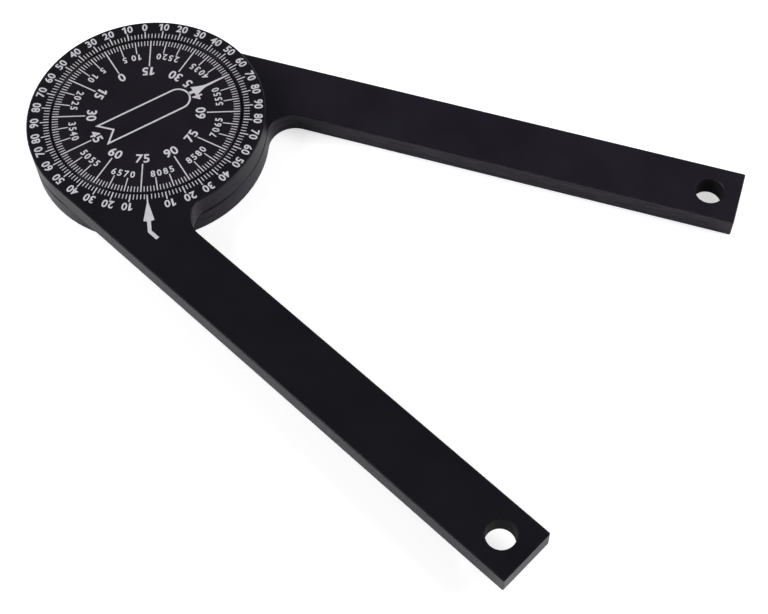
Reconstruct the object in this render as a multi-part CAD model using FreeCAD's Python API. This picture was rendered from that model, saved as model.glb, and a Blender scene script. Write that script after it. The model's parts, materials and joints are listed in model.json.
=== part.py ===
import FreeCAD, Part
import math
import os

# Bevel protractor: two flat aluminium arms on different levels, a round head and a flush dial.
# Millimetres, +Z up. The pivot axis is Z, the back face lies at Z = 0, the lower arm points to +X.

# Plan shape that both arms share
head_r = 36.5  # round head
arm_reach = 178.5  # pivot axis to the square end
arm_width = 18.2
root_fillet_r = 8.0  # concave corner between the head and the inner edge
end_corner_r = 0.5
open_angle = 26.3  # included angle between the arms, in degrees
hang_hole_r = 4.25
hang_hole_inset = 9.1  # square end to the hole's centre

# Levels
base_t = 7.0
scale_t = 7.0
slip_t = 0.5  # lower slip washer, and so the gap between the two arms
ledge_t = 3.0  # floor of the scale arm's stepped bore
upper_slip_t = 0.4
wave_t = 0.35
wave_lift = 0.45  # crest to trough, as clamped
wave_count = 3

# Radii about the pivot
ring_w = 7.1  # face that carries the outer scale
ledge_w = 6.4
hub_wall = 5.0  # hub wall round the dial's spigot
slip_margin = 2.0  # how far the lower slip washer stays back from the head's rim

# Spigot and screws that hold the dial to the hub
spigot_h = 2.6
screw_inset = 5.0  # rim of the spigot to the screws' circle
screw_count = 4
screw_r = 2.0
screw_head_r = 3.9
screw_head_angle = 90.0
socket_width = 2.5  # across the flats
socket_depth = 1.6
dial_skin = 1.5  # metal left over the blind screw holes
tip_gap = 0.8
head_sink = 0.2

# Clearances and broken edges
pivot_gap = 0.05
dial_gap = 0.3
spigot_gap = 0.03
spigot_end_gap = 0.1
washer_gap = 0.3
screw_gap = 0.15
thread_gap = 0.03
edge_break = 0.3
rim_break = 0.2

# Worked out from the above
scale_z = base_t + slip_t
top_z = scale_z + scale_t
ledge_z = scale_z + ledge_t
wave_z = ledge_z + upper_slip_t
dial_z = wave_z + wave_t + wave_lift  # underside of the dial's flange, and top of the hub
bore_r = head_r - ring_w
dial_r = bore_r - dial_gap
hub_r = bore_r - ledge_w
spigot_r = hub_r - hub_wall
screw_circle_r = spigot_r - screw_inset
inner_edge = head_r - arm_width


def turned(profile, x=0.0, y=0.0):
    """Solid of revolution about the line through (x, y) along Z, from (radius, z) points."""
    points = [FreeCAD.Vector(x + r, y, z) for r, z in profile]
    face = Part.Face(Part.makePolygon(points + points[:1]))
    return face.revolve(FreeCAD.Vector(x, y, 0), FreeCAD.Vector(0, 0, 1), 360)


def ring(inner_r, outer_r, low_z, thickness):
    high_z = low_z + thickness
    return turned([(inner_r, low_z), (outer_r, low_z), (outer_r, high_z), (inner_r, high_z)])


def through_hole(x, y, r, low_z, high_z):
    """Cutter for a round hole with both mouths broken by edge_break."""
    flare = r + edge_break
    profile = [(0, low_z), (flare, low_z), (r, low_z + edge_break)]
    profile += [(r, high_z - edge_break), (flare, high_z), (0, high_z)]
    return turned(profile, x, y)


def arm_plate(side, low_z, thickness):
    """Head and arm in one plate along +X. Its straight outer edge is at y = side * head_r."""
    root_y = inner_edge - root_fillet_r
    root_x = math.sqrt((head_r + root_fillet_r) ** 2 - root_y ** 2)
    to_root = FreeCAD.Vector(root_x, side * root_y, 0).normalize()
    up = FreeCAD.Vector(0, side, 0)
    root = FreeCAD.Vector(root_x, side * root_y, low_z)
    root_middle = root + (up - to_root).normalize() * root_fillet_r
    head_end = to_root * head_r + FreeCAD.Vector(0, 0, low_z)
    head_far = FreeCAD.Vector(-head_r, 0, low_z)
    outer_start = FreeCAD.Vector(0, side * head_r, low_z)
    outer_end = FreeCAD.Vector(arm_reach, side * head_r, low_z)
    inner_end = FreeCAD.Vector(arm_reach, side * inner_edge, low_z)
    inner_start = FreeCAD.Vector(root_x, side * inner_edge, low_z)
    edges = [
        Part.LineSegment(outer_start, outer_end),
        Part.LineSegment(outer_end, inner_end),
        Part.LineSegment(inner_end, inner_start),
        Part.Arc(inner_start, root_middle, head_end),
        Part.Arc(head_end, head_far, outer_start),
    ]
    face = Part.Face(Part.Wire([edge.toShape() for edge in edges]))
    plate = face.extrude(FreeCAD.Vector(0, 0, thickness))
    corners = [edge for edge in plate.Edges if is_end_corner(edge)]
    plate = plate.makeFillet(end_corner_r, corners)
    rims = [edge for edge in plate.Edges if edge.BoundBox.ZLength < edge_break]
    return plate.makeChamfer(edge_break, rims)


def is_end_corner(edge):
    box = edge.BoundBox
    return box.ZLength > edge_break and box.XMin > arm_reach - end_corner_r


def hang_hole(side, low_z, thickness):
    x = arm_reach - hang_hole_inset
    y = side * (head_r - arm_width / 2)
    return through_hole(x, y, hang_hole_r, low_z, low_z + thickness)


def screw_places():
    for number in range(screw_count):
        angle = 2 * math.pi * (number + 0.5) / screw_count
        yield screw_circle_r * math.cos(angle), screw_circle_r * math.sin(angle)


def head_depth(r):
    """Height of the countersunk cone from the screw head's rim down to radius r."""
    return (screw_head_r - r) / math.tan(math.radians(screw_head_angle / 2))


def make_base_arm():
    hub = turned([(0, 0), (hub_r, 0), (hub_r, dial_z - rim_break), (hub_r - rim_break, dial_z), (0, dial_z)])
    body = arm_plate(1, 0, base_t).fuse(hub)
    recess_r = spigot_r + spigot_gap
    recess_z = dial_z - spigot_h - spigot_end_gap
    body = body.cut(ring(0, recess_r, recess_z, dial_z - recess_z))
    hole_r = screw_r + screw_gap
    mouth_r = screw_head_r + head_sink * math.tan(math.radians(screw_head_angle / 2))
    seat_z = head_sink + head_depth(hole_r)
    for x, y in screw_places():
        hole = [(0, 0), (mouth_r, 0), (hole_r, seat_z), (hole_r, recess_z), (0, recess_z)]
        body = body.cut(turned(hole, x, y))
    return body.cut(hang_hole(1, 0, base_t)).removeSplitter()


def make_scale_arm():
    plate = arm_plate(-1, scale_z, scale_t)
    pivot_r = hub_r + pivot_gap
    step = [(0, scale_z), (pivot_r + rim_break, scale_z), (pivot_r, scale_z + rim_break), (pivot_r, ledge_z)]
    step += [(bore_r, ledge_z), (bore_r, top_z - rim_break), (bore_r + rim_break, top_z), (0, top_z)]
    arm = plate.cut(turned(step)).cut(hang_hole(-1, scale_z, scale_t))
    arm.rotate(FreeCAD.Vector(0, 0, 0), FreeCAD.Vector(0, 0, 1), -open_angle)
    return arm


def make_dial():
    spigot_z = dial_z - spigot_h
    profile = [(0, spigot_z), (spigot_r - rim_break, spigot_z), (spigot_r, spigot_z + rim_break)]
    profile += [(spigot_r, dial_z), (dial_r, dial_z), (dial_r, top_z - rim_break)]
    dial = turned(profile + [(dial_r - rim_break, top_z), (0, top_z)])
    hole_r = screw_r + thread_gap
    hole_top = top_z - dial_skin
    for x, y in screw_places():
        dial = dial.cut(turned([(0, spigot_z), (hole_r, spigot_z), (hole_r, hole_top), (0, hole_top)], x, y))
    return dial


def make_screw(x, y):
    tip_z = top_z - dial_skin - tip_gap
    rim_r = screw_head_r - thread_gap
    seat_z = head_sink + head_depth(screw_r) - thread_gap
    profile = [(0, head_sink), (rim_r, head_sink), (screw_r, seat_z), (screw_r, tip_z), (0, tip_z)]
    screw = turned(profile, x, y)
    corner_r = socket_width / math.sqrt(3)
    corners = [
        FreeCAD.Vector(x + corner_r * math.cos(turn), y + corner_r * math.sin(turn), head_sink)
        for turn in (math.radians(60 * number) for number in range(7))
    ]
    socket = Part.Face(Part.makePolygon(corners)).extrude(FreeCAD.Vector(0, 0, socket_depth))
    return screw.cut(socket)


def wave_edge(r, low_z):
    """Closed curve round the pivot that rises and falls wave_count times."""
    steps = 8 * wave_count
    points = []
    for number in range(steps):
        angle = 2 * math.pi * number / steps
        lift = wave_lift * (1 - math.cos(wave_count * angle)) / 2
        points.append(FreeCAD.Vector(r * math.cos(angle), r * math.sin(angle), low_z + lift))
    curve = Part.BSplineCurve()
    curve.interpolate(Points=points, PeriodicFlag=True)
    return curve.toShape()


def make_wave_washer():
    inner_r = hub_r + washer_gap
    outer_r = dial_r - washer_gap
    low_in, low_out = wave_edge(inner_r, wave_z), wave_edge(outer_r, wave_z)
    high_in, high_out = wave_edge(inner_r, wave_z + wave_t), wave_edge(outer_r, wave_z + wave_t)
    pairs = [(low_in, low_out), (low_out, high_out), (high_out, high_in), (high_in, low_in)]
    shell = Part.makeShell([Part.makeRuledSurface(one, other) for one, other in pairs])
    shell.sewShape()
    return Part.makeSolid(shell)


def make_washer(outer_r, low_z, thickness):
    return ring(hub_r + washer_gap, outer_r, low_z, thickness)


def build():
    nodes = {
        "base_arm": make_base_arm(),
        "scale_arm": make_scale_arm(),
        "dial_disc": make_dial(),
        "lower_slip_washer": make_washer(head_r - slip_margin, base_t, slip_t),
        "upper_slip_washer": make_washer(dial_r, ledge_z, upper_slip_t),
        "wave_washer": make_wave_washer(),
    }
    for number, (x, y) in enumerate(screw_places(), 1):
        nodes["dial_screw_%d" % number] = make_screw(x, y)
    return nodes


os.makedirs("parts", exist_ok=True)
for name, shape in build().items():
    shape.exportStep("parts/%s.step" % name)
    print(name, shape.isValid(), len(shape.Solids), round(shape.Volume, 1))
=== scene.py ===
import json
import math

import bmesh
import bpy
from mathutils import Matrix, Vector


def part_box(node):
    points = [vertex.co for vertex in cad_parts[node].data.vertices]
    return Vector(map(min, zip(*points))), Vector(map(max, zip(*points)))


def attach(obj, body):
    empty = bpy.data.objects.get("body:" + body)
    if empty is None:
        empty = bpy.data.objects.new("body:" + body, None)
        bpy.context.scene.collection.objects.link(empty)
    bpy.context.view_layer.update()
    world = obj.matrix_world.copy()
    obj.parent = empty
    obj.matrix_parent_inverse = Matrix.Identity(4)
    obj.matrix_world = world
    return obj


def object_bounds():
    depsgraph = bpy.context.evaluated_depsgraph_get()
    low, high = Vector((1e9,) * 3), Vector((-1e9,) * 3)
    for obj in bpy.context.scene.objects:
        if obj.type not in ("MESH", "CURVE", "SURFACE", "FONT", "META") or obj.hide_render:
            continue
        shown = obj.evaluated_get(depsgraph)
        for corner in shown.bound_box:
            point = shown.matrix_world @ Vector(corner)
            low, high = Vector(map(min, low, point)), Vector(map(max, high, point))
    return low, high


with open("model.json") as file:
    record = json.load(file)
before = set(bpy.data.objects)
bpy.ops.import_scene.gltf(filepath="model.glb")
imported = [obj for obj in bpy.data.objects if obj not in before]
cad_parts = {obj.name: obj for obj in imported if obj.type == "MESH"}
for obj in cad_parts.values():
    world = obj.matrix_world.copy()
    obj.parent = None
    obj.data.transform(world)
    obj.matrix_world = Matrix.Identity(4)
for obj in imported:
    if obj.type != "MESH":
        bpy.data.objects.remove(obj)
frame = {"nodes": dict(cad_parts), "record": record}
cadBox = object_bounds()
mm = 0.001


# what the frame says about the two arms, the ring and the dial

mounts = {mount["name"]: Vector(mount["pos_m"]) for mount in frame["record"]["mounts"]}
baseHole = mounts["base_hang_hole"]
scaleHole = mounts["scale_hang_hole"]
armAngle = math.atan2(scaleHole.y, scaleHole.x) + math.atan2(baseHole.y, baseHole.x)
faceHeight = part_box("dial_disc")[1].z  # the ring, the upper arm and the dial share this face
middle = (cadBox[0] + cadBox[1]) / 2


class Socket:
    # one output of a shader node, with sums written as ordinary Python expressions
    def __init__(self, tree, link=None):
        self.tree = tree
        self.link = link

    def add(self, kind, settings=None, inputs=None, output=0):
        node = self.tree.nodes.new(kind)
        for name, value in (settings or {}).items():
            if name == "stops":
                setStops(node.color_ramp, value)
            else:
                setattr(node, name, value)
        for name, value in (inputs or {}).items():
            if isinstance(value, Socket):
                self.tree.links.new(value.link, node.inputs[name])
            else:
                node.inputs[name].default_value = value
        return Socket(self.tree, node.outputs[output] if node.outputs else None)

    def math(self, operation, one, other=0.0):
        return self.add("ShaderNodeMath", {"operation": operation}, {0: one, 1: other})

    def __add__(self, other):
        return self.math("ADD", self, other)

    def __radd__(self, other):
        return self.math("ADD", other, self)

    def __sub__(self, other):
        return self.math("SUBTRACT", self, other)

    def __rsub__(self, other):
        return self.math("SUBTRACT", other, self)

    def __mul__(self, other):
        return self.math("MULTIPLY", self, other)

    def __rmul__(self, other):
        return self.math("MULTIPLY", other, self)

    def size(self):
        return self.math("ABSOLUTE", self)

    def over(self, limit):
        return self.math("GREATER_THAN", self, limit)

    def under(self, limit):
        return self.math("LESS_THAN", self, limit)

    def noise(self, size, detail=2.0, roughness=0.5):
        # size is the width of one blotch, in metres
        inputs = {"Vector": self, "Scale": 1 / size, "Detail": detail, "Roughness": roughness}
        return self.add("ShaderNodeTexNoise", {}, inputs, "Fac")

    def stretch(self, x, y, z):
        # the same place with its coordinates scaled, so that a texture on it is drawn out
        return self.add("ShaderNodeVectorMath", {"operation": "MULTIPLY"}, {0: self, 1: (x, y, z)})

    def distance(self, point):
        return self.add("ShaderNodeVectorMath", {"operation": "DISTANCE"}, {0: self, 1: point}, "Value")

    def rise(self, low, high):
        # 0 up to low, then evenly up to 1 at high
        return self.add("ShaderNodeValToRGB", {"stops": ((low, 0.0), (high, 1.0))}, {"Fac": self})

    def mixColours(self, one, other):
        inputs = {0: self, 6: one, 7: other}  # the Mix node's factor and its two colours
        return self.add("ShaderNodeMix", {"data_type": "RGBA"}, inputs, 2)

    def bump(self, strength, depth):
        return self.add("ShaderNodeBump", {}, {"Strength": strength, "Distance": depth, "Height": self})


def setStops(ramp, stops):
    # stops are (position, grey) pairs
    while len(ramp.elements) < len(stops):
        ramp.elements.new(0.5)
    for element, (position, grey) in zip(ramp.elements, stops):
        element.position = position
        element.color = (grey, grey, grey, 1.0)


def newMaterial(name):
    material = bpy.data.materials.new(name)
    material.use_nodes = True
    tree = material.node_tree
    tree.nodes.clear()
    place = Socket(tree).add("ShaderNodeTexCoord", output="Object")
    return material, place


def finishMaterial(place, inputs):
    # inputs are those of the Principled shader: plain values or sockets
    shader = place.add("ShaderNodeBsdfPrincipled", {}, inputs)
    place.add("ShaderNodeOutputMaterial", {}, {"Surface": shader})


anodised = {
    "black": (0.0052, 0.0044, 0.0074),
    "faded": (0.0084, 0.0072, 0.0112),
    # the walls' colour, lighter and more purple than the faces: a painted sheen, with a tint
    "wall": (0.0125, 0.0090, 0.0180),
    "edge": (0.026, 0.023, 0.030),
    # each part's two blacks are made lighter or darker by its level here: painted light, a painted
    # reflection that differs from part to part
    "paintedLightLevels": {"base_arm": 1.7, "scale_arm": 0.85, "dial_disc": 1.45},  # of the two blacks
    "blotch": 22 * mm,
    "blotchRange": (0.35, 0.75),
    "grain": 0.16 * mm,
    "grainDepth": 0.003 * mm,
    "streak": 0.9 * mm,
    "streakDraw": (0.09, 0.09, 1.0),
    "streakDepth": 0.03 * mm,
    "wear": 3 * mm,
    "wearRange": (0.46, 0.70),
    "faceRoughness": 0.34,
    "edgeRoughness": 0.24,
    "wallRoughness": 0.22,
    "holeRoughness": 0.52,
    "holeRadius": 4.7 * mm,
    "blotchSpread": 0.10,  # how far each pattern moves the roughness
    "grainSpread": 0.06,
    "streakSpread": 0.5,
    "specular": 0.18,
    "wallGloss": 0.30,
    "glossRange": (0.42, 0.62),
    "glossRoughness": 0.25,
    "chamfer": 0.3 * mm,
    "chamferShare": 0.98,  # of the chamfer that counts as edge
    "faceMargin": 0.02 * mm,
}


def shaded(colour, shade):
    return tuple(level * shade for level in colour) + (1.0,)


def makeAnodised(name, node, faceLevels, hangHole=None):
    # the black coat: fine blasted grain, cloudy handling marks, a little fading on the broken edges,
    # and smoother sawn and turned walls, with streaks along them, between the faces at faceLevels.
    # The walls of the hang hole are left dull, and without the painted sheen of the other walls
    material, place = newMaterial(name)
    cloud = place.noise(anodised["blotch"], 4.0, 0.6)
    grain = place.noise(anodised["grain"], 3.0, 0.65)
    streak = place.stretch(*anodised["streakDraw"]).noise(anodised["streak"], 4.0, 0.7)
    # this part's painted reflection level, lightening or darkening its blacks
    shade = anodised["paintedLightLevels"][node]
    black = shaded(anodised["black"], shade)
    faded = shaded(anodised["faded"], shade)
    colour = cloud.rise(*anodised["blotchRange"]).mixColours(black, faded)
    height = place.add("ShaderNodeSeparateXYZ", {}, {"Vector": place}, "Z")
    hole = 0.0
    if hangHole:
        hole = place.stretch(1, 1, 0).distance((hangHole.x, hangHole.y, 0)).under(anodised["holeRadius"])
    edge = 0.0
    wall = 1.0 - hole
    for level in faceLevels:
        offset = (height - level).size()
        sloped = offset.under(anodised["chamfer"] * anodised["chamferShare"])
        edge = offset.over(anodised["faceMargin"]) * sloped + edge
        wall = offset.over(anodised["chamfer"]) * wall
    # the walls take the lighter colour: a painted sheen with a tint, left off the hang hole's walls
    colour = wall.mixColours(colour, shaded(anodised["wall"], 1.0))
    wear = edge * place.noise(anodised["wear"], 3.0, 0.7).rise(*anodised["wearRange"])
    colour = wear.mixColours(colour, shaded(anodised["edge"], 1.0))
    smoother = wall * (anodised["wallRoughness"] - anodised["faceRoughness"])
    smoother = edge * (anodised["edgeRoughness"] - anodised["faceRoughness"]) + smoother
    duller = hole * (anodised["holeRoughness"] - anodised["faceRoughness"])
    roughness = cloud * anodised["blotchSpread"] + duller + grain * anodised["grainSpread"]
    roughness = roughness + smoother + anodised["faceRoughness"]
    roughness = wall * (streak - 0.5) * anodised["streakSpread"] + roughness
    relief = grain * anodised["grainDepth"] + streak * wall * anodised["streakDepth"]
    glossy = streak.rise(*anodised["glossRange"])
    finishMaterial(place, {
        "Base Color": colour,
        "Roughness": roughness,
        "Normal": relief.bump(1.0, 1.0),
        "Specular IOR Level": anodised["specular"],
        "Coat Weight": wall * glossy * anodised["wallGloss"],
        "Coat Roughness": anodised["glossRoughness"],
    })
    return material


ink = {
    "white": (0.645, 0.632, 0.675, 1.0),
    "thin": (0.50, 0.49, 0.53, 1.0),
    "patch": 0.9 * mm,
    "patchRange": (0.50, 0.78),
    "grain": 0.12 * mm,
    "grainStrength": 0.35,
    "grainDepth": 0.006 * mm,
    "roughness": 0.48,
    "thinRoughness": 0.15,  # more, where it is thin
    "specular": 0.4,
    "proud": 0.03 * mm,
    "sunk": 0.02 * mm,
}


def makeInk():
    # screen-printed white: dense in most places and a little thin in others, on the metal's own grain
    material, place = newMaterial("whiteInk")
    thin = place.noise(ink["patch"], 4.0, 0.7).rise(*ink["patchRange"])
    grain = place.noise(ink["grain"], 3.0, 0.6)
    finishMaterial(place, {
        "Base Color": thin.mixColours(ink["white"], ink["thin"]),
        "Roughness": thin * ink["thinRoughness"] + ink["roughness"],
        "Normal": grain.bump(ink["grainStrength"], ink["grainDepth"]),
        "Specular IOR Level": ink["specular"],
    })
    return material


nylon = {
    "dark": (0.018, 0.018, 0.020, 1.0),
    "pale": (0.034, 0.034, 0.036, 1.0),
    "cloud": 2.5 * mm,
    "roughness": 0.45,
    "roughSpread": 0.2,
    "fine": 0.2 * mm,
    "bumpStrength": 0.4,
    "bumpDepth": 0.01 * mm,
}


def makeNylon():
    material, place = newMaterial("blackNylon")
    cloud = place.noise(nylon["cloud"], 3.0, 0.6)
    fine = place.noise(nylon["fine"], 2.0, 0.5)
    finishMaterial(place, {
        "Base Color": cloud.mixColours(nylon["dark"], nylon["pale"]),
        "Roughness": cloud * nylon["roughSpread"] + nylon["roughness"],
        "Normal": fine.bump(nylon["bumpStrength"], nylon["bumpDepth"]),
    })
    return material


springSteel = {
    "dark": (0.36, 0.35, 0.33, 1.0),
    "pale": (0.52, 0.50, 0.47, 1.0),
    "streak": 0.5 * mm,
    "roughness": 0.24,
    "roughSpread": 0.2,
    "bumpStrength": 0.3,
    "bumpDepth": 0.01 * mm,
}


def makeSpringSteel():
    material, place = newMaterial("springSteel")
    streak = place.noise(springSteel["streak"], 4.0, 0.7)
    finishMaterial(place, {
        "Base Color": streak.mixColours(springSteel["dark"], springSteel["pale"]),
        "Roughness": streak * springSteel["roughSpread"] + springSteel["roughness"],
        "Metallic": 1.0,
        "Normal": streak.bump(springSteel["bumpStrength"], springSteel["bumpDepth"]),
    })
    return material


screwSteel = {
    "dark": (0.40, 0.40, 0.41, 1.0),
    "pale": (0.58, 0.58, 0.57, 1.0),
    "cloud": 1.2 * mm,
    "fine": 0.15 * mm,
    "roughness": 0.26,
    "roughSpread": 0.16,
    "bumpStrength": 0.3,
    "bumpDepth": 0.008 * mm,
}


def makeScrewSteel():
    material, place = newMaterial("screwSteel")
    cloud = place.noise(screwSteel["cloud"], 3.0, 0.6)
    fine = place.noise(screwSteel["fine"], 2.0, 0.5)
    finishMaterial(place, {
        "Base Color": cloud.mixColours(screwSteel["dark"], screwSteel["pale"]),
        "Roughness": fine * screwSteel["roughSpread"] + screwSteel["roughness"],
        "Metallic": 1.0,
        "Normal": fine.bump(screwSteel["bumpStrength"], screwSteel["bumpDepth"]),
    })
    return material


def dress(node, material):
    slots = frame["nodes"][node].data.materials
    slots.clear()
    slots.append(material)


def dressFrame():
    baseTop = mounts["base_outer_edge"].z * 2
    ringBottom = mounts["scale_outer_edge"].z * 2 - faceHeight
    dress("base_arm", makeAnodised("anodisedBase", "base_arm", (0.0, baseTop), baseHole))
    dress("scale_arm", makeAnodised("anodisedScale", "scale_arm", (ringBottom, faceHeight), scaleHole))
    dress("dial_disc", makeAnodised("anodisedDial", "dial_disc", (faceHeight,)))
    washerMaterial = makeNylon()
    dress("lower_slip_washer", washerMaterial)
    dress("upper_slip_washer", washerMaterial)
    dress("wave_washer", makeSpringSteel())
    screwMaterial = makeScrewSteel()
    for name in frame["nodes"]:
        if name.startswith("dial_screw"):
            dress(name, screwMaterial)
    print("finishes on the metal")


# the printed marks, lines, numbers and arrows, are a thin coat of ink on the face
scales = {
    "zeroFromArm": math.radians(139.0),  # anticlockwise from the scale's own arm
    "ringOffset": (0.10 * mm, 0.16 * mm, 0.0),
    "ringTurn": math.radians(0.2),
    "tickStep": math.radians(2),
    "tickWidth": 0.25 * mm,
    "ringTick": (29.8 * mm, 31.5 * mm),
    "ringTen": (29.8 * mm, 32.5 * mm),
    "ringTenWidth": 0.36 * mm,
    "ringNumberRadius": 34.2 * mm,
    "ringNumberHeight": 2.7 * mm,
    "ringDigitWidth": 1.7 * mm,
    "ringDigitStep": 1.86 * mm,
    "dialTick": (26.8 * mm, 28.7 * mm),
    "dialMedium": (23.9 * mm, 28.7 * mm),
    "dialMediumWidth": 0.32 * mm,
    "dialLong": (18.55 * mm, 28.7 * mm),
    "dialLongWidth": 0.38 * mm,
    "smallNumberRadius": 22.53 * mm,
    "smallNumberHeight": 2.32 * mm,
    "smallDigitWidth": 1.4 * mm,
    "smallDigitStep": 1.9 * mm,
    "largeNumberRadius": 16.65 * mm,
    "largeNumberHeight": 3.15 * mm,
    "largeDigitWidth": 2.05 * mm,
    "largeDigitStep": 2.2 * mm,
    "splitDigitStep": 6.3 * mm,  # the number that the pointer runs through
    # how far each number stands off its line, in mm anticlockwise, clockwise round from the zero
    "ringShifts": (0.1, 0.05, 0, -0.2, -0.25, 0.05, -0.1, -0.4, 0.1, 0.15, 0.6, 0.45,
                   0.45, 1.2, 1.05, 0.95, 0.8, 0.65, 0, -0.15, -0.2, -0.25, -0.35, -0.55,
                   -0.65, -0.85, 0, 0.05, 0, -0.05, 0.05, 0.1, 0.05, -0.1, -0.1, -0.25),
    "dialShifts": (-0.05, 0, 0.2, 0.05, 0.2, 0.3, 0, 0.25, 0.3, 0.55, -0.05, 0.15,
                   -0.2, 0, 0.05, -0.45, -0.1, 0.1, -0.1, 0.2, 0.3, -0.05, 0.2, 0.2,
                   -0.1, 0, -0.05, -0.45, -0.3, -0.1, -0.15, -0.15, -0.2, -0.1, -0.15, -0.2),
}
inkMaterial = makeInk()
inkDepth = ink["proud"] + ink["sunk"]


def around(angle, radius):
    # a frame at that radius: x outwards, y anticlockwise, z at the underside of the ink
    spin = Matrix.Rotation(angle, 4, "Z")
    return spin @ Matrix.Translation((radius, 0, faceHeight - ink["sunk"]))


def addLine(bm, angle, span, width):
    place = around(angle, sum(span) / 2) @ Matrix.Translation((0, 0, inkDepth / 2))
    size = Matrix.Diagonal((span[1] - span[0], width, inkDepth, 1))
    bmesh.ops.create_cube(bm, size=1, matrix=place @ size)


def addPlate(bm, points, depth, rim=0.0):
    # a closed outline, or only its rim, as a plate that stands on z = 0. Its vertices are returned
    face = bm.faces.new([bm.verts.new((x, y, 0)) for x, y in points])
    face.normal_update()
    faces = [face]
    if rim:
        faces = bmesh.ops.inset_region(bm, faces=faces, thickness=rim, use_boundary=True,
                                       use_even_offset=True)["faces"]
        bmesh.ops.delete(bm, geom=[face], context="FACES_ONLY")
    low = {vert for face in faces for vert in face.verts}
    made = bmesh.ops.extrude_face_region(bm, geom=faces, use_keep_orig=True)["geom"]
    high = [item for item in made if isinstance(item, bmesh.types.BMVert)]
    bmesh.ops.translate(bm, vec=(0, 0, depth), verts=high)
    return list(low) + high


def makePiece(name, bm, body, material):
    bmesh.ops.recalc_face_normals(bm, faces=bm.faces)
    mesh = bpy.data.meshes.new(name)
    bm.to_mesh(mesh)
    bm.free()
    mesh.materials.append(material)
    piece = bpy.data.objects.new(name, mesh)
    bpy.context.scene.collection.objects.link(piece)
    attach(piece, body)


def keepDigit(digits, character, bm):
    # centres a digit on its own box, with its depth from z = 0 to 1
    xs = [vert.co.x for vert in bm.verts]
    ys = [vert.co.y for vert in bm.verts]
    shift = Vector((-(min(xs) + max(xs)) / 2, -(min(ys) + max(ys)) / 2, 0))
    bmesh.ops.translate(bm, vec=shift, verts=bm.verts)
    bmesh.ops.recalc_face_normals(bm, faces=bm.faces)
    mesh = bpy.data.meshes.new("digit" + character)
    bm.to_mesh(mesh)
    bm.free()
    digits[character] = (mesh, max(xs) - min(xs), max(ys) - min(ys))


def makeDigits():
    # one closed mesh per digit. All but the flagged 1 come from a bold outline
    digits = {}
    for character in "023456789":
        curve = bpy.data.curves.new("digit" + character, "FONT")
        curve.body = character
        curve.extrude = 0.5
        curve.offset = 0.022
        curve.resolution_u = 3
        text = bpy.data.objects.new("digit" + character, curve)
        bpy.context.scene.collection.objects.link(text)
        bpy.context.view_layer.update()
        shape = text.evaluated_get(bpy.context.evaluated_depsgraph_get())
        mesh = bpy.data.meshes.new_from_object(shape)
        bpy.data.objects.remove(text)
        bm = bmesh.new()
        bm.from_mesh(mesh)
        bpy.data.meshes.remove(mesh)
        bmesh.ops.remove_doubles(bm, verts=bm.verts, dist=0.0005)
        bmesh.ops.translate(bm, vec=(0, 0, 0.5), verts=bm.verts)
        keepDigit(digits, character, bm)
    one = [(0.28, -0.5), (0.28, 0.5), (-0.02, 0.5), (-0.40, 0.33), (-0.40, 0.13), (-0.07, 0.26),
           (-0.07, -0.5)]
    wide, high = digits["0"][1:]
    bm = bmesh.new()
    addPlate(bm, [(x * wide, y * high) for x, y in one], 1.0)
    keepDigit(digits, "1", bm)
    return digits


digits = makeDigits()


def addNumber(bm, number, angle, radius, height, width, step, inwards=False):
    # its digits follow the arc, tops outwards, or tops towards the centre if inwards
    text = str(number)
    turn = math.pi / 2 if inwards else -math.pi / 2
    size = Matrix.Diagonal((width / digits["0"][1], height / digits["0"][2], inkDepth, 1))
    for place, character in enumerate(text):
        along = (place - (len(text) - 1) / 2) * step / radius
        spot = around(angle + (along if inwards else -along), radius)
        start = len(bm.verts)
        bm.from_mesh(digits[character][0])
        bm.verts.ensure_lookup_table()
        bmesh.ops.transform(bm, matrix=spot @ Matrix.Rotation(turn, 4, "Z") @ size, verts=bm.verts[start:])


def setOffCentre(bm):
    # the ring's lines and numbers are printed a touch off the pivot's centre
    shift = Matrix.Translation(scales["ringOffset"]) @ Matrix.Rotation(scales["ringTurn"], 4, "Z")
    bmesh.ops.transform(bm, matrix=shift, verts=bm.verts)


def makeOuterScale():
    zero = armAngle + scales["zeroFromArm"]
    lines = bmesh.new()
    numbers = bmesh.new()
    for count in range(180):
        angle = zero - count * scales["tickStep"]
        if count % 5:
            addLine(lines, angle, scales["ringTick"], scales["tickWidth"])
            continue
        if count == 90:
            continue  # the mitre arrow stands here
        addLine(lines, angle, scales["ringTen"], scales["ringTenWidth"])
        ten = count // 5
        reading = 10 * (9 - abs(9 - ten % 18))
        radius = scales["ringNumberRadius"]
        spot = angle + scales["ringShifts"][ten] * mm / radius
        addNumber(numbers, reading, spot, radius, scales["ringNumberHeight"], scales["ringDigitWidth"],
                  scales["ringDigitStep"])
    setOffCentre(lines)
    setOffCentre(numbers)
    makePiece("outer_scale_lines", lines, "scale", inkMaterial)
    makePiece("outer_scale_numbers", numbers, "scale", inkMaterial)


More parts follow.
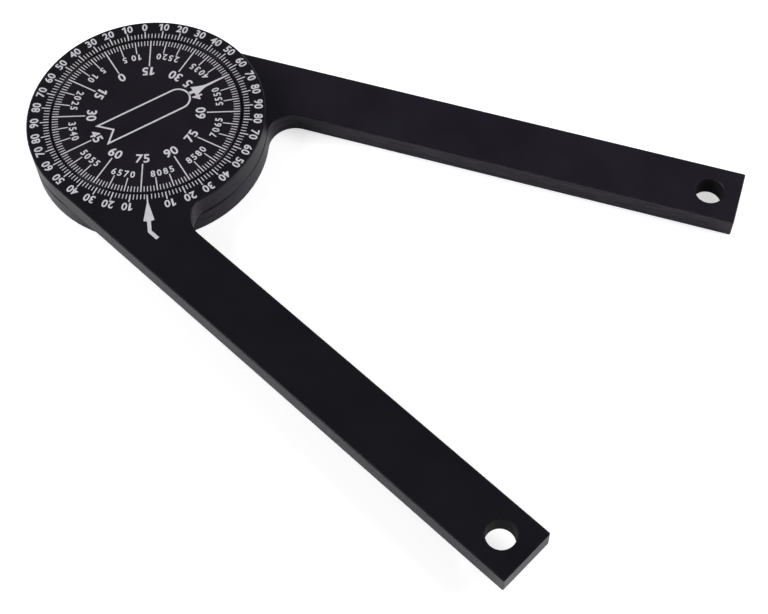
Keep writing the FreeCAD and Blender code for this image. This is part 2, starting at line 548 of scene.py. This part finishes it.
def makeInnerScale():
    zero = scales["zeroFromArm"]
    lines = bmesh.new()
    small = bmesh.new()
    large = bmesh.new()
    for count in range(180):
        angle = zero - count * scales["tickStep"]
        ten = count // 5
        reading = 5 * min(ten, 36 - ten)
        shift = scales["dialShifts"][ten] * mm
        if count % 5:
            addLine(lines, angle, scales["dialTick"], scales["tickWidth"])
        elif ten % 3:
            addLine(lines, angle, scales["dialMedium"], scales["dialMediumWidth"])
            radius = scales["smallNumberRadius"]
            addNumber(small, reading, angle + shift / radius, radius, scales["smallNumberHeight"],
                      scales["smallDigitWidth"], scales["smallDigitStep"], True)
        else:
            split = ten == 9
            if not split:
                addLine(lines, angle, scales["dialLong"], scales["dialLongWidth"])
            step = scales["splitDigitStep"] if split else scales["largeDigitStep"]
            radius = scales["largeNumberRadius"]
            addNumber(large, reading, angle + shift / radius, radius, scales["largeNumberHeight"],
                      scales["largeDigitWidth"], step, True)
    makePiece("inner_scale_lines", lines, "base", inkMaterial)
    makePiece("inner_scale_small_numbers", small, "base", inkMaterial)
    makePiece("inner_scale_large_numbers", large, "base", inkMaterial)


def arrowHead(barb, neck, tip, barbHalf, neckHalf, tipHalf, shaft):
    # outline of an arrow along +x whose sides sweep in from the barbs, as (x, y) points.
    # shaft is (start x, half width) of the stem behind the head
    side = [(shaft[0], shaft[1]), (barb, shaft[1]), (barb, barbHalf)]
    steps = 10
    for step in range(1, steps + 1):
        share = step / steps
        sweep = (1 - share) ** 1.3
        side.append((barb + (neck - barb) * share, neckHalf + (barbHalf - neckHalf) * sweep))
    side.append((tip, tipHalf))
    return side + [(x, -y) for x, y in reversed(side)]


banner = {
    "tail": -15.3 * mm,
    "notch": -11.4 * mm,
    "half": 4.1 * mm,
    "end": 14.9 * mm,
    "rim": 0.55 * mm,
    "barb": 16.3 * mm,
    "neck": 20.6 * mm,
    "tip": 28.85 * mm,
    "barbHalf": 2.0 * mm,
    "neckHalf": 0.42 * mm,
    "tipHalf": 0.18 * mm,
    "stemHalf": 0.55 * mm,
    "noseSteps": 24,
}


def makePointer():
    # the dial's pointer: a swallow-tailed outline with a round nose, and a solid arrow to the outer scale
    angle = scales["zeroFromArm"] - math.pi / 2
    place = around(angle, 0)
    outline = bmesh.new()
    points = [(banner["notch"], 0), (banner["tail"], -banner["half"])]
    centre = banner["end"] - banner["half"]
    for step in range(banner["noseSteps"] + 1):
        turn = math.pi * (step / banner["noseSteps"] - 0.5)
        points.append((centre + banner["half"] * math.cos(turn), banner["half"] * math.sin(turn)))
    points.append((banner["tail"], banner["half"]))
    plate = addPlate(outline, points, inkDepth, banner["rim"])
    bmesh.ops.transform(outline, matrix=place, verts=plate)
    makePiece("pointer_outline", outline, "base", inkMaterial)
    arrow = bmesh.new()
    stem = (banner["end"] - banner["rim"] / 2, banner["stemHalf"])
    plate = addPlate(arrow, arrowHead(banner["barb"], banner["neck"], banner["tip"], banner["barbHalf"],
                                      banner["neckHalf"], banner["tipHalf"], stem), inkDepth)
    bmesh.ops.transform(arrow, matrix=place, verts=plate)
    makePiece("pointer_arrow", arrow, "base", inkMaterial)


mitre = {
    "lean": math.radians(2.8),  # about its tip
    "tip": 29.85 * mm,
    "neck": 32.7 * mm,
    "barb": 39.05 * mm,
    "barbHalf": 1.62 * mm,
    "neckHalf": 0.22 * mm,
    "tipHalf": 0.18 * mm,
    "shaftHalf": 0.56 * mm,
    "bend": 42.9 * mm,
    "tailLength": 3.5 * mm,
    "barbDrop": 0.3 * mm,
    "headSteps": 6,
}


def makeMitreArrow():
    # points inwards from the upper arm, where the ring's second zero is; its tail turns along the arm
    angle = armAngle + scales["zeroFromArm"] - math.pi
    place = around(angle, mitre["tip"]) @ Matrix.Rotation(mitre["lean"], 4, "Z")
    place = place @ Matrix.Translation((-mitre["tip"], 0, 0))
    tailTurn = armAngle - angle - mitre["lean"]
    half = mitre["shaftHalf"]
    bend = Vector((mitre["bend"], 0))
    along = Vector((math.cos(tailTurn), math.sin(tailTurn)))
    across = Vector((-along.y, along.x))
    miter = half * math.tan(tailTurn / 2)
    end = bend + along * mitre["tailLength"]
    side = [(mitre["tip"], mitre["tipHalf"]), (mitre["neck"], mitre["neckHalf"])]
    for step in range(1, mitre["headSteps"] + 1):
        share = step / mitre["headSteps"]
        width = mitre["neckHalf"] + (mitre["barbHalf"] - mitre["neckHalf"]) * share
        side.append((mitre["neck"] + (mitre["barb"] - mitre["neck"]) * share, width))
    side.append((mitre["barb"] + mitre["barbDrop"], half))
    upper = list(side)
    lower = [(x, -y) for x, y in side]
    upper.append((bend.x - miter, half))
    lower.append((bend.x + miter, -half))
    upper.append(tuple(end + across * half))
    lower.append(tuple(end - across * half))
    arrow = bmesh.new()
    plate = addPlate(arrow, upper + lower[::-1], inkDepth)
    bmesh.ops.transform(arrow, matrix=place, verts=plate)
    makePiece("mitre_arrow", arrow, "scale", inkMaterial)


stage = {
    "floorHalf": 4.0,
    "floorColour": (0.80, 0.80, 0.80, 1.0),
    "lift": 0.6,  # plain light on the floor that only the camera sees
    "glossLift": 0.10,  # and what the metal's own reflections see of it
    "world": 0.10,
}


def makeFloor():
    material, place = newMaterial("paleFloor")
    diffuse = place.add("ShaderNodeBsdfDiffuse", {}, {"Color": stage["floorColour"]})
    camera = place.add("ShaderNodeLightPath", output="Is Camera Ray")
    gloss = place.add("ShaderNodeLightPath", output="Is Glossy Ray")
    glass = place.add("ShaderNodeLightPath", output="Is Transmission Ray")
    strength = camera * stage["lift"] + (gloss + glass) * stage["glossLift"]
    lift = place.add("ShaderNodeEmission", {}, {"Color": (1, 1, 1, 1), "Strength": strength})
    surface = place.add("ShaderNodeAddShader", {}, {0: diffuse, 1: lift})
    place.add("ShaderNodeOutputMaterial", {}, {"Surface": surface})
    bm = bmesh.new()
    bmesh.ops.create_grid(bm, x_segments=1, y_segments=1, size=stage["floorHalf"])
    mesh = bpy.data.meshes.new("floor")
    bm.to_mesh(mesh)
    bm.free()
    mesh.materials.append(material)
    floor = bpy.data.objects.new("floor", mesh)
    bpy.context.scene.collection.objects.link(floor)


def makeWorld():
    world = bpy.data.worlds.new("studio")
    bpy.context.scene.world = world
    world.use_nodes = True
    world.node_tree.nodes.clear()
    start = Socket(world.node_tree)
    path = start.add("ShaderNodeLightPath", output="Is Camera Ray")
    strength = path * (1 - stage["world"]) + stage["world"]
    light = start.add("ShaderNodeBackground", {}, {"Color": (1, 1, 1, 1), "Strength": strength})
    start.add("ShaderNodeOutputWorld", {}, {"Surface": light})


def makeLamp(name, azimuth, elevation, distance, width, height, level):
    # azimuth is clockwise from the camera's side, and level is how bright this lamp alone makes
    # a white face
    turn = math.radians(camera["yaw"] - 90 - azimuth)
    rise = math.radians(elevation)
    away = Vector((math.cos(turn) * math.cos(rise), math.sin(turn) * math.cos(rise), math.sin(rise)))
    lamp = bpy.data.lights.new(name, "AREA")
    lamp.shape = "RECTANGLE"
    lamp.size = width
    lamp.size_y = height
    lamp.energy = level * (math.pi * distance) ** 2 / math.sin(rise)
    holder = bpy.data.objects.new(name, lamp)
    holder.location = middle + away * distance
    holder.rotation_euler = away.to_track_quat("Z", "Y").to_euler()
    bpy.context.scene.collection.objects.link(holder)


# each lamp's azimuth and elevation in degrees, distance, width and height in metres, and level
lamps = {
    "leftBox": (97, 38, 1.1, 0.8, 0.6, 0.36),
    "rightBox": (-97, 38, 1.1, 0.8, 0.6, 0.43),
    "frontBox": (0, 45, 1.3, 0.9, 0.6, 0.04),
    "backBox": (180, 34, 1.3, 1.0, 0.4, 0.02),
    "leftStrip": (67, 21, 1.1, 0.2, 0.2, 0.04),  # glints on the broken edges of the left side
}


def makeLamps():
    for name, values in lamps.items():
        makeLamp(name, *values)


camera = {
    "yaw": 19.608,
    "down": 59.684,
    "roll": -2.223,
    "lens": 72.677,
    "sensor": 36,
    "near": 0.01,
    "far": 20,
    "place": (0.16394, -0.25111, 0.39123),
}


def makeCamera():
    lens = bpy.data.cameras.new("camera")
    lens.lens = camera["lens"]
    lens.sensor_width = camera["sensor"]
    lens.clip_start = camera["near"]
    lens.clip_end = camera["far"]
    holder = bpy.data.objects.new("camera", lens)
    aim = Matrix.Rotation(math.radians(camera["yaw"]), 4, "Z")
    aim = aim @ Matrix.Rotation(math.radians(90 - camera["down"]), 4, "X")
    aim = aim @ Matrix.Rotation(math.radians(camera["roll"]), 4, "Z")
    holder.matrix_world = Matrix.Translation(camera["place"]) @ aim
    bpy.context.scene.collection.objects.link(holder)
    bpy.context.scene.camera = holder
    bpy.context.scene.view_settings.view_transform = "Standard"


makeCamera()
makeFloor()
makeWorld()
makeLamps()
print("camera, floor and lamps")
dressFrame()
makeOuterScale()
makeInnerScale()
makePointer()
makeMitreArrow()
print("printed scales and arrows")
